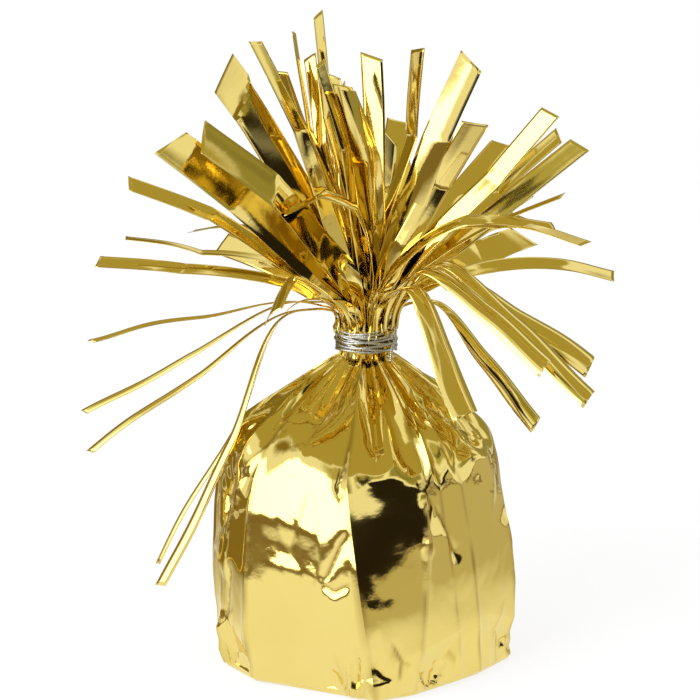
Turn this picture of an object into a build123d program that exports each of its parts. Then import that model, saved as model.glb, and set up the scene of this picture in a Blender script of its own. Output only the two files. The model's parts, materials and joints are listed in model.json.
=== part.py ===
from build123d import *
from collections import namedtuple
import math
import os

# Foil balloon weight: a filled plastic tub wrapped in gold foil, the foil gathered
# over the top, tied with cord, and slit above the tie into a crown of fringe strips.
# Millimetres, +Z up, the origin at the middle of the base. Bearings are degrees in
# plan from the front (-Y), positive towards the right (+X).

# Weight under the foil
weight_radius = 24.6
weight_height = 45.0
weight_edge_bevel = 1.0
shell_wall = 1.4
plug_thickness = 2.4
plug_clearance = 0.15
fill_clearance = 0.2

# Foil wrapper
foil_thickness = 0.4
foil_slack = 0.6
base_tuck = 0.4
base_roll_height = 1.2
belly_height = 14.0
belly_swell = 0.5
wall_bands = 3
wall_bend = 1.9
dome_rise = 21.0
dome_bands = 4
dome_pleat = 1.3
half_ridge_drop = 0.2
neck_pleat = 0.7
collar_height = 3.0
collar_flare = 0.6

# Each fold ridge down the wrapper: its bearing at the base and at the shoulder, and how
# far it stands off the weight at each
Ridge = namedtuple("Ridge", "base_bearing shoulder_bearing base_stand shoulder_stand")
ridges = [
    Ridge(4, -8, 6.4, 3.0),
    Ridge(20, 26, 4.4, 2.6),
    Ridge(45, 32, 2.5, 2.4),
    Ridge(57, 44, 3.2, 2.6),
    Ridge(79, 76, 6.0, 2.2),
    Ridge(105, 108, 5.4, 2.2),
    Ridge(132, 130, 4.5, 2.8),
    Ridge(160, 163, 5.0, 2.6),
    Ridge(188, 185, 4.5, 2.8),
    Ridge(216, 219, 5.0, 2.6),
    Ridge(246, 244, 4.8, 3.4),
    Ridge(271, 273, 6.2, 5.4),
    Ridge(289, 289, 6.2, 4.6),
    Ridge(309, 307, 5.2, 3.2),
]

# Tie at the neck
cord_diameter = 0.8
cord_turn_gap = 0.45
cord_sides = 6
gap_steps = 64
tie_half_turns = 8
tie_seat_clearance = 0.15
tie_end_room = 0.5
tail_bend_radius = 6.0
tail_bend_angle = 32.0
tail_run = 3.0

# Fringe strips, gathered as narrow stems inside the neck
strip_thickness = 0.3
stem_size = 0.8
stem_gap = 0.2
core_ring_radius = 0.9
neck_slack = 0.38
strip_root_width = 0.5
strip_flare_length = 22.0
tip_cut_angle = 20.0
ring_rise = 1.5
rim_to_blade = 0.6

# Free streamers that fold over the collar
streamer_thickness = 0.3
streamer_root_width = 1.4
streamer_flare_length = 20.0
streamer_seat_gap = 0.3
streamer_root_drop = 0.8

# A strip's tip is given by its bearing, its reach from the axis and its rise above the
# collar. Its bow is how far it bulges from a straight line, and its turn is how far its
# upper face is turned towards the front. Each list is one ring of stems, innermost first.
Strip = namedtuple("Strip", "bearing reach rise width bow turn")
fringe_rings = [
    [
        Strip(-90, 10.4, 62.9, 3.0, 1.0, 35),
        Strip(-56, 5.3, 49.2, 5.6, 1.0, 88),
        Strip(155, 2.2, 54.0, 4.6, 1.0, 88),
    ],
    [
        Strip(-157, 20.0, 45.2, 4.5, 2.0, 20),
        Strip(-131, 9.2, 49.2, 4.5, 1.5, 75),
        Strip(-114, 13.6, 53.2, 3.0, 1.0, 70),
        Strip(-86, 15.2, 59.2, 3.0, 1.0, 10),
        Strip(-50, 13.0, 54.2, 2.4, 1.5, 80),
        Strip(-12, 9.2, 49.2, 6.5, 3.0, 88),
        Strip(90, 11.0, 56.2, 4.0, 1.0, 15),
        Strip(112, 12.0, 30.2, 4.0, 2.0, 50),
        Strip(158, 10.8, 40.2, 6.0, 2.0, 80),
    ],
    [
        Strip(-166, 30.0, 43.2, 5.0, 3.0, 20),
        Strip(-138, 38.0, 35.2, 4.5, 4.0, 25),
        Strip(-107, 33.2, 45.2, 3.0, 3.0, 10),
        Strip(-97, 17.0, 50.7, 2.6, 1.0, 75),
        Strip(-72, 32.0, 54.2, 7.2, 3.0, 75),
        Strip(-70, 23.0, 59.2, 3.6, 2.0, 80),
        Strip(-59, 39.3, 41.7, 7.0, 3.0, 70),
        Strip(-33, 21.4, 36.9, 5.0, 5.0, 30),
        Strip(68, 24.4, 42.2, 5.2, 2.0, 85),
        Strip(74, 22.8, 55.0, 6.0, 2.0, 85),
        Strip(72, 40.7, 44.2, 4.2, 2.0, 70),
        Strip(104, 42.5, 35.2, 3.2, 3.0, 60),
        Strip(128, 38.0, 31.2, 4.5, 4.0, 30),
        Strip(165, 30.0, 35.2, 5.0, 3.0, 15),
    ],
    [
        Strip(-174, 48.0, 15.2, 4.5, 6.0, 10),
        Strip(-148, 46.0, 23.2, 4.0, 5.0, 10),
        Strip(-128, 50.0, 9.2, 4.0, 6.0, 10),
        Strip(-119, 37.0, 9.7, 5.0, 3.0, 40),
        Strip(-101, 52.5, 12.2, 2.4, 6.0, 20),
        Strip(-84, 56.5, 11.2, 2.6, 5.0, 25),
        Strip(-79, 50.6, 29.7, 3.6, 3.0, 55),
        Strip(-71, 43.8, 38.7, 7.5, 4.0, 65),
        Strip(-52, 32.0, -2.1, 6.0, 5.0, 10),
        Strip(54, 54.0, 20.2, 2.6, 12.0, 12),
        Strip(60, 47.0, 21.7, 2.6, 14.0, 10),
        Strip(76, 42.2, 26.2, 2.6, 3.0, 8),
        Strip(94, 45.5, 34.7, 4.4, 2.0, 60),
        Strip(104, 55.5, 3.2, 3.6, 8.0, 40),
        Strip(122, 41.5, 9.2, 6.3, 7.0, 30),
        Strip(132, 49.0, 20.2, 4.5, 3.0, 45),
        Strip(138, 51.0, 13.2, 4.5, 3.0, 35),
        Strip(162, 50.0, 11.2, 4.5, 6.0, 10),
    ],
]

# A streamer leaves the collar at its root bearing, leaning out, rises straight, goes
# round a fold of its own radius and runs straight to its tip, which is given by its
# bearing, how far out it is beyond the side of the weight and how far it is above the
# wrapper's shoulder.
Streamer = namedtuple("Streamer", "root lean rise fold bearing beyond above width")
streamers = {
    "streamer_left_level": Streamer(-98, 62, 1.0, 5.0, -88, 34.4, 24.5, 2.0),
    "streamer_left_upper": Streamer(-118, 74, 1.0, 20.0, -96, 36.9, 5.5, 2.0),
    "streamer_left_lower": Streamer(-78, 80, 1.0, 30.0, -86, 34.9, 0.0, 2.0),
    "streamer_left_back": Streamer(-138, 80, 5.0, 9.0, -104, 23.4, -30.5, 2.2),
    "streamer_left_long": Streamer(-58, 80, 6.5, 9.0, -78, 20.4, -28.5, 2.6),
    "streamer_front_shoulder": Streamer(16, 42, 9.0, 5.0, 34, 11.9, 14.9, 6.0),
    "streamer_right_dark": Streamer(36, 33, 11.0, 5.0, 48, 24.6, 26.4, 4.8),
    "streamer_right_pale": Streamer(56, 32, 11.5, 5.5, 59, 29.1, 18.4, 5.0),
    "streamer_right_short": Streamer(95, 66, 4.0, 7.0, 80, 12.3, 6.3, 3.6),
    "streamer_right_wide": Streamer(76, 46, 9.0, 6.0, 72, 24.8, 21.7, 6.0),
}

# Worked-out sizes
ring_pitch = stem_size + stem_gap
ring_radii = [core_ring_radius + k * ring_pitch for k in range(len(fringe_rings))]
neck_bore_radius = math.hypot(ring_radii[-1] + stem_size / 2, stem_size / 2) + neck_slack
neck_valley_radius = neck_bore_radius + foil_thickness
neck_ridge_radius = neck_valley_radius + neck_pleat
tie_pitch = cord_diameter + cord_turn_gap
tie_radius = neck_ridge_radius + tie_seat_clearance + cord_diameter / 2
tie_height = tie_half_turns * tie_pitch / 2
weight_top = foil_thickness + weight_height
plug_top = foil_thickness + plug_thickness
shoulder_height = weight_top + foil_slack
neck_bottom = shoulder_height + dome_rise
tie_bottom = neck_bottom + tie_end_room + cord_diameter / 2
neck_top = tie_bottom + tie_height + cord_diameter / 2 + tie_end_room
collar_rim = neck_top + collar_height
collar_ridge_radius = neck_ridge_radius + collar_flare
blade_base = collar_rim + rim_to_blade


def compass(bearing, radius, height):
    angle = math.radians(bearing)
    return Vector(radius * math.sin(angle), -radius * math.cos(angle), height)


# Each level of the wrapper: its height, the radius of each ridge there, the depth of
# its pleats, and the least radius that clears what it wraps.
Level = namedtuple("Level", "height ridge_radii pleat least")


def wrapper_levels():
    least = weight_radius + foil_slack + foil_thickness
    base = [least + ridge.base_stand for ridge in ridges]
    shoulder = [least + ridge.shoulder_stand for ridge in ridges]
    levels = [
        Level(0, [r - base_tuck for r in base], 0, least),
        Level(base_roll_height, base, 0, least),
    ]
    for band in range(wall_bands + 1):
        share = band / wall_bands
        height = belly_height + (shoulder_height - belly_height) * share
        swell = belly_swell * math.sin(math.pi * height / shoulder_height)
        radii = [low + (top - low) * share**wall_bend + swell for low, top in zip(base, shoulder)]
        levels.append(Level(height, radii, 0, least))
    for band in range(1, dome_bands):
        share = band / dome_bands
        drop = math.cos(math.radians(90 * share))
        radii = [neck_ridge_radius + (r - neck_ridge_radius) * drop for r in shoulder]
        height = shoulder_height + dome_rise * share
        levels.append(Level(height, radii, dome_pleat * share, neck_valley_radius))
    neck = [neck_ridge_radius] * len(ridges)
    collar = [collar_ridge_radius] * len(ridges)
    levels.append(Level(neck_bottom, neck, neck_pleat, neck_valley_radius))
    levels.append(Level(neck_top, neck, neck_pleat, neck_valley_radius))
    levels.append(Level(collar_rim, collar, neck_pleat, neck_valley_radius))
    return levels


def ridge_bearing(ridge, height):
    climb = min(height / shoulder_height, 1)
    return ridge.base_bearing + (ridge.shoulder_bearing - ridge.base_bearing) * climb


def pleat_outline(level, inset, height):
    # From each ridge straight across to the next: a valley, a lower ridge and a valley.
    drops = (0, level.pleat, level.pleat * half_ridge_drop, level.pleat)
    points = []
    for k, ridge in enumerate(ridges):
        after = (k + 1) % len(ridges)
        here = ridge_bearing(ridge, level.height)
        gap = (ridge_bearing(ridges[after], level.height) - here) % 360
        near, far = level.ridge_radii[k], level.ridge_radii[after]
        for quarter, drop in enumerate(drops):
            turn = gap * quarter / len(drops)
            ahead = math.sin(math.radians(gap - turn))
            behind = math.sin(math.radians(turn))
            chord = near * far * math.sin(math.radians(gap)) / (near * behind + far * ahead)
            points.append(compass(here + turn, max(chord - drop, level.least) - inset, height))
    return points


def folded_faces(outlines):
    # Flat triangles between each outline and the next, two from each side.
    faces = []
    for lower, upper in zip(outlines, outlines[1:]):
        for k in range(len(lower)):
            after = (k + 1) % len(lower)
            faces.append(Face(Wire.make_polygon([lower[k], lower[after], upper[after]])))
            faces.append(Face(Wire.make_polygon([lower[k], upper[after], upper[k]])))
    return faces


def foil_wrapper():
    outside = []
    inside = []
    for level in wrapper_levels():
        outside.append(pleat_outline(level, 0, level.height))
        height = level.height
        if height == 0:
            height = foil_thickness
        elif shoulder_height < height < neck_bottom:
            height = height - foil_thickness
        inside.append(pleat_outline(level, foil_thickness, height))
    floors = [Face(Wire.make_polygon(outline)) for outline in (outside[0], inside[0])]
    rim = Face(Wire.make_polygon(outside[-1]), [Wire.make_polygon(inside[-1])])
    return Solid(Shell(folded_faces(outside) + folded_faces(inside) + floors + [rim]))


def round_section(radius, bottom, top):
    # Right half of the section of a round piece between two heights.
    return make_face(Polyline((0, bottom), (radius, bottom), (radius, top), (0, top), close=True))


def turned(section):
    return revolve(Plane.XZ * section, Axis.Z)


def weight_shell():
    outside = round_section(weight_radius, foil_thickness, weight_top)
    outside = chamfer(outside.vertices().sort_by(lambda v: v.X + v.Y)[-1], weight_edge_bevel)
    inside = round_section(weight_radius - shell_wall, foil_thickness, weight_top - shell_wall)
    return turned(outside) - turned(inside)


def base_plug():
    return turned(round_section(weight_radius - shell_wall - plug_clearance, foil_thickness, plug_top))


def ballast_fill():
    wall = shell_wall + fill_clearance
    return turned(round_section(weight_radius - wall, plug_top, weight_top - wall))


def tie_points():
    # Ends of the half turns, in turn on the right and on the left of the neck.
    ends = []
    for half in range(tie_half_turns + 1):
        side = 1 if half % 2 == 0 else -1
        ends.append(Vector(side * tie_radius, 0, tie_bottom + half * tie_pitch / 2))
    return ends


def tie_cord():
    # Half circles, each tilted to climb half a pitch, starting with the loose tail.
    bend = math.radians(tail_bend_angle)
    start = tie_points()[0]
    bend_end = start + Vector(
        0, -tail_bend_radius * math.sin(bend), -tail_bend_radius * (1 - math.cos(bend))
    )
    bend_middle = start + Vector(
        0, -tail_bend_radius * math.sin(bend / 2), -tail_bend_radius * (1 - math.cos(bend / 2))
    )
    tail = bend_end + Vector(0, -math.cos(bend), -math.sin(bend)) * tail_run
    edges = [Line(tail, bend_end), ThreePointArc(bend_end, bend_middle, start)]
    for half, (here, after) in enumerate(zip(tie_points(), tie_points()[1:])):
        middle = (here + after) / 2
        swing = (after - here).length / 2 * (1 if half % 2 == 0 else -1)
        edges.append(ThreePointArc(here, middle + Vector(0, swing, 0), after))
    path = Wire(edges)
    section = Plane(tail, z_dir=bend_end - tail) * RegularPolygon(cord_diameter / 2, cord_sides)
    return sweep(section, path)


def least_tie_gap():
    # Turns one pitch apart are nearest to each other, measured on points of both.
    turns = []
    for half, (here, after) in enumerate(zip(tie_points(), tie_points()[1:])):
        reach = (after - here) / 2
        swing = reach.length * (1 if half % 2 == 0 else -1)
        for step in range(gap_steps):
            angle = math.pi * step / gap_steps
            offset = reach * -math.cos(angle) + Vector(0, swing * math.sin(angle), 0)
            turns.append((here + after) / 2 + offset)
    apart = [
        (turns[i] - turns[j]).length
        for i in range(len(turns))
        for j in range(i + gap_steps, len(turns))
    ]
    return min(apart) - cord_diameter


def blade(root, tip, strip, cut_side):
    # A bowed band cut to the strip's outline: narrow at the root, slanted at the tip.
    along = (tip - root).normalized()
    level = Vector(0, 0, 1).cross(along).normalized()
    upper = along.cross(level)
    forward = level if level.Y < 0 else -level
    turn = math.radians(strip.turn)
    face = upper * math.cos(turn) + forward * math.sin(turn)
    frame = Plane(root, x_dir=along, z_dir=along.cross(face))
    length = (tip - root).length
    radius = (length**2 / 4 + strip.bow**2) / (2 * strip.bow)
    centre = Vector(length / 2, strip.bow - radius)
    sweep_angle = math.asin(length / 2 / radius)
    half = strip_thickness / 2

    def arc(distance):
        ends = [
            centre + Vector(s * distance * math.sin(sweep_angle), distance * math.cos(sweep_angle))
            for s in (-1, 1)
        ]
        return ends[0], centre + Vector(0, distance), ends[1]

    outer = arc(radius + half)
    inner = arc(radius - half)
    profile = make_face(
        [
            ThreePointArc(*outer),
            Line(outer[2], inner[2]),
            ThreePointArc(*inner[::-1]),
            Line(inner[0], outer[0]),
        ]
    )
    band = extrude(profile, strip.width / 2, both=True)
    slant = strip.width * math.tan(math.radians(tip_cut_angle))
    outline = Polyline(
        (-stem_size, -strip_root_width / 2),
        (0, -strip_root_width / 2),
        (strip_flare_length, -strip.width / 2),
        (length - (slant if cut_side < 0 else 0), -strip.width / 2),
        (length - (slant if cut_side > 0 else 0), strip.width / 2),
        (strip_flare_length, strip.width / 2),
        (0, strip_root_width / 2),
        (-stem_size, strip_root_width / 2),
        close=True,
    )
    cutter = extrude(Plane.XZ * make_face(outline), strip.bow + strip_thickness, both=True)
    return frame * (band & cutter)


def fringe_strip(ring, slot):
    strips = fringe_rings[ring]
    strip = strips[slot]
    bearing = -180 + 360 * (slot + 0.5) / len(strips)
    root_height = blade_base + ring_rise * (len(fringe_rings) - 1 - ring)
    root = compass(bearing, ring_radii[ring], root_height)
    tip = compass(strip.bearing, strip.reach, collar_rim + strip.rise)
    stem_top = root_height + strip_thickness
    stem = Box(stem_size, stem_size, stem_top - neck_bottom)
    stem = Pos(root.X, root.Y, (stem_top + neck_bottom) / 2) * Rot(0, 0, bearing) * stem
    return stem + blade(root, tip, strip, 1 if slot % 2 else -1)


def streamer_root(item):
    radius = collar_ridge_radius + streamer_seat_gap + streamer_thickness / 2
    return compass(item.root, radius, collar_rim - streamer_root_drop)


def streamer_tip(item):
    return compass(item.bearing, weight_radius + item.beyond, shoulder_height + item.above)


def streamer(item):
    # Drawn in the upright plane through root and tip: u outwards, v up.
    root = streamer_root(item)
    tip = streamer_tip(item)
    out = Vector(tip.X - root.X, tip.Y - root.Y, 0)
    frame = Plane(root, x_dir=out, z_dir=out.cross(Vector(0, 0, 1)))
    lean = math.radians(item.lean)
    rising = Vector(math.sin(lean), math.cos(lean))
    across = Vector(math.cos(lean), -math.sin(lean))
    centre = rising * item.rise + across * item.fold
    goal = Vector(out.length, tip.Z - root.Z) - centre
    run = math.sqrt(goal.X**2 + goal.Y**2 - item.fold**2)
    last = math.atan2(run * goal.X + item.fold * goal.Y, run * goal.Y - item.fold * goal.X)

    def fold_point(angle, distance):
        return centre + Vector(-math.cos(angle), math.sin(angle)) * distance

    half = streamer_thickness / 2
    ahead = Vector(math.sin(last), math.cos(last)) * run

    def face_line(distance):
        # Root, start, middle and end of the fold, and tip, on one face.
        angles = (lean, (lean + last) / 2, last)
        start, middle, end = (fold_point(angle, distance) for angle in angles)
        return start - rising * item.rise, start, middle, end, end + ahead

    outer = face_line(item.fold + half)
    inner = face_line(item.fold - half)
    profile = make_face(
        [
            Line(outer[0], outer[1]),
            ThreePointArc(*outer[1:4]),
            Line(outer[3], outer[4]),
            Line(outer[4], inner[4]),
            Line(inner[4], inner[3]),
            ThreePointArc(*inner[3:0:-1]),
            Line(inner[1], inner[0]),
            ThreePointArc(inner[0], rising * -half, outer[0]),
        ]
    )
    band = extrude(profile, item.width / 2, both=True)
    room = item.rise + 2 * item.fold + run
    outline = Polyline(
        (-streamer_root_width, -streamer_root_width / 2),
        (0, -streamer_root_width / 2),
        (streamer_flare_length, -item.width / 2),
        (room, -item.width / 2),
        (room, item.width / 2),
        (streamer_flare_length, item.width / 2),
        (0, streamer_root_width / 2),
        (-streamer_root_width, streamer_root_width / 2),
        close=True,
    )
    cutter = extrude(Plane.XZ * make_face(outline), room, both=True)
    return frame * (band & cutter)


def save(name, shape):
    export_step(shape, f"parts/{name}.step")


os.makedirs("parts", exist_ok=True)
save("foil_wrapper", foil_wrapper())
save("weight_shell", weight_shell())
save("base_plug", base_plug())
save("ballast_fill", ballast_fill())
save("tie_cord", tie_cord())
number = 0
for ring, strips in enumerate(fringe_rings):
    for slot in range(len(strips)):
        number += 1
        save(f"fringe_strip_{number:02d}", fringe_strip(ring, slot))
for name, item in streamers.items():
    save(name, streamer(item))
print(f"least gap between turns of the tie: {least_tie_gap():.2f} mm")
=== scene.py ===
import bpy
import json
import math
import numpy as np
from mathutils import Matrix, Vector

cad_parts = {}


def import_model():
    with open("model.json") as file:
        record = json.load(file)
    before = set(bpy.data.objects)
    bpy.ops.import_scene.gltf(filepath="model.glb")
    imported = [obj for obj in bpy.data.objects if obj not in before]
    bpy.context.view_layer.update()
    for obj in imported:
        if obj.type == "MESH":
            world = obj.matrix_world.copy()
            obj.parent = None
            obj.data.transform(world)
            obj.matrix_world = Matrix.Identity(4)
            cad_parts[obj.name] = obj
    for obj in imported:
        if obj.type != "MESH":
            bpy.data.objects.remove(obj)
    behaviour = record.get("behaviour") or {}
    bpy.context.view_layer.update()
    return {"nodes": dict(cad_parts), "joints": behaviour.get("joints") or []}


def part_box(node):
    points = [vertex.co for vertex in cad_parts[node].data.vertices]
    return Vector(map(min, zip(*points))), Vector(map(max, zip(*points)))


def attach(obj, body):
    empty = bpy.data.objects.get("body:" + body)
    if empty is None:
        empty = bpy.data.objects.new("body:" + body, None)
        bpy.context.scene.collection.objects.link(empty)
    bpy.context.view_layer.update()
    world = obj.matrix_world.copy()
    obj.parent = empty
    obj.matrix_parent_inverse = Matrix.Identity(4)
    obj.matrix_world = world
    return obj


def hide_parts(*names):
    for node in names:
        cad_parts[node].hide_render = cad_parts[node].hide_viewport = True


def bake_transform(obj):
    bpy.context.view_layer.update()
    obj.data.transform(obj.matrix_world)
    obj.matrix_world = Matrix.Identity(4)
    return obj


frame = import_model()
mm = 0.001
coreBody = "wrapped_weight"
print("frame loaded:", len(frame["nodes"]), "nodes")


# small maths on whole arrays

def smoothStep(low, high, x):
    # 0 below low, 1 above high, eased between them
    t = np.clip((x - low) / (high - low), 0, 1)
    return t * t * (3 - 2 * t)


def unit(v):
    return v / np.maximum(np.linalg.norm(v, axis=-1, keepdims=True), 1e-12)


def ripple(points, wavelength, seed, waves=5):
    # sum of sines along random directions, about -1 to 1, of the given wavelength
    rng = np.random.default_rng(seed)
    ways = unit(rng.normal(size=(waves, 3))) * (2 * math.pi / wavelength)
    ways = ways * rng.uniform(0.7, 1.4, size=(waves, 1))
    phases = rng.uniform(0, 2 * math.pi, waves)
    return np.sin(points @ ways.T + phases).sum(-1) / math.sqrt(waves)


def creases(points, wavelength, seed):
    # the fold of a ripple on itself: rounded pillows that meet in sharp lines
    return np.abs(ripple(points, wavelength, seed)) - 0.6


def zigzag(phase):
    # triangle wave, -1 to 1, sharp at its peaks and valleys
    return 2 / math.pi * np.arcsin(np.sin(phase) * 0.995)


# meshes from grids of points

def newPiece(name, verts, faces, uv, material, sharpAngle):
    mesh = bpy.data.meshes.new(name)
    mesh.from_pydata(verts.tolist(), [], faces)
    mesh.polygons.foreach_set("use_smooth", np.ones(len(mesh.polygons), bool))
    layer = mesh.uv_layers.new(name="UVMap")
    corners = np.zeros(len(mesh.loops), np.int32)
    mesh.loops.foreach_get("vertex_index", corners)
    layer.data.foreach_set("uv", uv[corners].astype(np.float32).ravel())
    mesh.set_sharp_from_angle(angle=math.radians(sharpAngle))
    mesh.materials.append(material)
    piece = bpy.data.objects.new(name, mesh)
    bpy.context.scene.collection.objects.link(piece)
    return piece


def quads(rows, cols, closed, start=0):
    # corner numbers of the quads between neighbouring rows and columns
    r = np.arange(rows - 1)[:, None]
    c = np.arange(cols if closed else cols - 1)[None, :]
    after = (c + 1) % cols
    here = start + r * cols
    above = here + cols
    return np.stack([here + c, here + after, above + after, above + c], -1).reshape(-1, 4).tolist()


def gridUv(rows, cols):
    v, u = np.meshgrid(np.linspace(0, 1, rows), np.linspace(0, 1, cols), indexing="ij")
    return np.stack([u, v], -1).reshape(-1, 2)


def roundPiece(name, points, low, high, material, sharpAngle):
    # rings of points closed round the axis, with one point closing each end
    rows, cols, _ = points.shape
    verts = np.concatenate([points.reshape(-1, 3), [low, high]])
    faces = quads(rows, cols, True)
    c = np.arange(cols)
    after = (c + 1) % cols
    last = (rows - 1) * cols
    faces += np.stack([after, c, np.full(cols, rows * cols)], -1).tolist()
    faces += np.stack([last + c, last + after, np.full(cols, rows * cols + 1)], -1).tolist()
    uv = np.concatenate([gridUv(rows, cols), [[0.5, 0], [0.5, 1]]])
    return newPiece(name, verts, faces, uv, material, sharpAngle)


def sheetPiece(name, points, material, thickness, sharpAngle):
    # an open grid of points given a thickness on both sides
    rows, cols, _ = points.shape
    verts = points.reshape(-1, 3)
    piece = newPiece(name, verts, quads(rows, cols, False), gridUv(rows, cols), material, sharpAngle)
    wall = piece.modifiers.new("thickness", "SOLIDIFY")
    wall.thickness = thickness
    wall.offset = 0
    flat = piece.modifiers.new("flatFaces", "WEIGHTED_NORMAL")
    flat.keep_sharp = True
    return piece


# materials: a wrapped socket whose operators add Math nodes

class Signal:
    def __init__(self, tree, socket=None):
        self.tree = tree
        self.socket = socket

    def node(self, kind, settings=None, values=None, out=0):
        made = self.tree.nodes.new(kind)
        for key, value in (settings or {}).items():
            if key == "stops":
                while len(made.color_ramp.elements) < len(value):
                    made.color_ramp.elements.new(1)
                for stop, (place, colour) in zip(made.color_ramp.elements, value):
                    stop.position = place
                    stop.color = (*colour, 1)
            else:
                setattr(made, key, value)
        for key, value in (values or {}).items():
            if isinstance(value, Signal):
                self.tree.links.new(value.socket, made.inputs[key])
            else:
                made.inputs[key].default_value = value
        return Signal(self.tree, made.outputs[out] if made.outputs else None)

    def maths(self, operation, first, second):
        return self.node("ShaderNodeMath", {"operation": operation}, {0: first, 1: second})

    def __add__(self, other):
        return self.maths("ADD", self, other)

    def __radd__(self, other):
        return self.maths("ADD", other, self)

    def __sub__(self, other):
        return self.maths("SUBTRACT", self, other)

    def __rsub__(self, other):
        return self.maths("SUBTRACT", other, self)

    def __mul__(self, other):
        return self.maths("MULTIPLY", self, other)

    def __rmul__(self, other):
        return self.maths("MULTIPLY", other, self)

    def blend(self, first, second):
        # colour mix: this value runs from the first colour to the second
        colours = {"Factor": self, 6: first, 7: second}
        return self.node("ShaderNodeMix", {"data_type": "RGBA"}, colours, 2)


def newMaterial(name):
    material = bpy.data.materials.new(name)
    material.use_nodes = True
    tree = material.node_tree
    tree.nodes.clear()
    return material, Signal(tree)


def finishMaterial(signal, settings):
    shader = signal.node("ShaderNodeBsdfPrincipled", None, settings)
    signal.node("ShaderNodeOutputMaterial", None, {"Surface": shader})


def noise(signal, coords, scale, detail=2.0):
    values = {"Vector": coords, "Scale": scale, "Detail": detail}
    return signal.node("ShaderNodeTexNoise", None, values)


foilFinish = {
    "bright": (0.87, 0.705, 0.245, 1),
    "deep": (0.83, 0.655, 0.175, 1),
    "roughness": 0.045,
    "haze": 0.10,
    "tintScale": 60.0,
    "hazeScale": 220.0,
    "dimpleScale": 420.0,
    "dimple": 0.05,
    # painted crease shade: a dark brown mixed into the foil along folds, ridges and pleat valleys, and how
    # strongly
    "creaseShadeColour": (0.26, 0.14, 0.02, 1),
    "creaseShade": 0.7,
    "creaseRough": 0.12,
}


def foilMaterial(name, dimple):
    # mirror film: tint and haze drift over it, fine dimples break the reflections, and it is darkened
    # with painted shade along pressed folds, which the mesh marks in its own attribute
    material, s = newMaterial(name)
    coords = s.node("ShaderNodeTexCoord", out=3)
    tint = noise(s, coords, foilFinish["tintScale"])
    haze = noise(s, coords, foilFinish["hazeScale"], 4.0)
    dimples = noise(s, coords, foilFinish["dimpleScale"], 3.0)
    # the mesh's painted crease shade mask, up to 1 on folds, ridges and pleat valleys
    pressed = s.node("ShaderNodeAttribute", {"attribute_name": "pressed"}, out=2)
    colour = tint.blend(foilFinish["bright"], foilFinish["deep"])
    # painted shade: dark brown blended in along that mask
    colour = (pressed * foilFinish["creaseShade"]).blend(colour, foilFinish["creaseShadeColour"])
    rough = foilFinish["roughness"] + haze * haze * foilFinish["haze"] + pressed * foilFinish["creaseRough"]
    bump = {"Strength": dimple, "Distance": 0.0006, "Height": dimples}
    settings = {
        "Base Color": colour,
        "Metallic": 1.0,
        "Roughness": rough,
        "Normal": s.node("ShaderNodeBump", None, bump),
    }
    finishMaterial(s, settings)
    return material


cordFinish = {
    "bright": (0.78, 0.79, 0.80, 1),
    "dull": (0.30, 0.30, 0.28, 1),
    "grainScale": 2600.0,
    "roughness": 0.12,
    "grain": 0.35,
}


def cordMaterial(name):
    # metallic thread: dull and bright fibres mixed along it
    material, s = newMaterial(name)
    coords = s.node("ShaderNodeTexCoord", out=3)
    grain = noise(s, coords, cordFinish["grainScale"], 3.0)
    colour = grain.blend(cordFinish["bright"], cordFinish["dull"])
    bump = {"Strength": cordFinish["grain"], "Distance": 0.0002, "Height": grain}
    settings = {
        "Base Color": colour,
        "Metallic": 1.0,
        "Roughness": cordFinish["roughness"] + grain * 0.25,
        "Normal": s.node("ShaderNodeBump", None, bump),
    }
    finishMaterial(s, settings)
    return material


hiddenFinish = {
    "tub_plastic": {
        "light": (0.74, 0.74, 0.72, 1),
        "dark": (0.60, 0.60, 0.58, 1),
        "scale": 300.0,
        "rough": 0.42,
    },
    "ballast": {
        "light": (0.46, 0.42, 0.36, 1),
        "dark": (0.28, 0.25, 0.21, 1),
        "scale": 900.0,
        "rough": 0.85,
    },
}


def hiddenMaterial(slot):
    # moulded plastic or set plaster under the foil, mottled at its own scale
    look = hiddenFinish[slot]
    material, s = newMaterial(slot + "Finish")
    coords = s.node("ShaderNodeTexCoord", out=3)
    mottle = noise(s, coords, look["scale"], 4.0)
    bump = {"Strength": 0.15, "Distance": 0.0003, "Height": mottle}
    settings = {
        "Base Color": mottle.blend(look["light"], look["dark"]),
        "Roughness": look["rough"] + mottle * 0.1,
        "Normal": s.node("ShaderNodeBump", None, bump),
    }
    finishMaterial(s, settings)
    return material


bagFoil = foilMaterial("bagFoil", foilFinish["dimple"])
fringeFoil = foilMaterial("fringeFoil", foilFinish["dimple"] * 0.5)
silverCord = cordMaterial("silverCord")
print("materials made")

tubFinish = hiddenMaterial("tub_plastic")
ballastFinish = hiddenMaterial("ballast")
hiddenPieces = {"weight_shell": tubFinish, "base_plug": tubFinish, "ballast_fill": ballastFinish}
for node, finish in hiddenPieces.items():
    frame["nodes"][node].data.materials.clear()
    frame["nodes"][node].data.materials.append(finish)


# foil bag: a pleated bag round the weight, gathered at the neck

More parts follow.
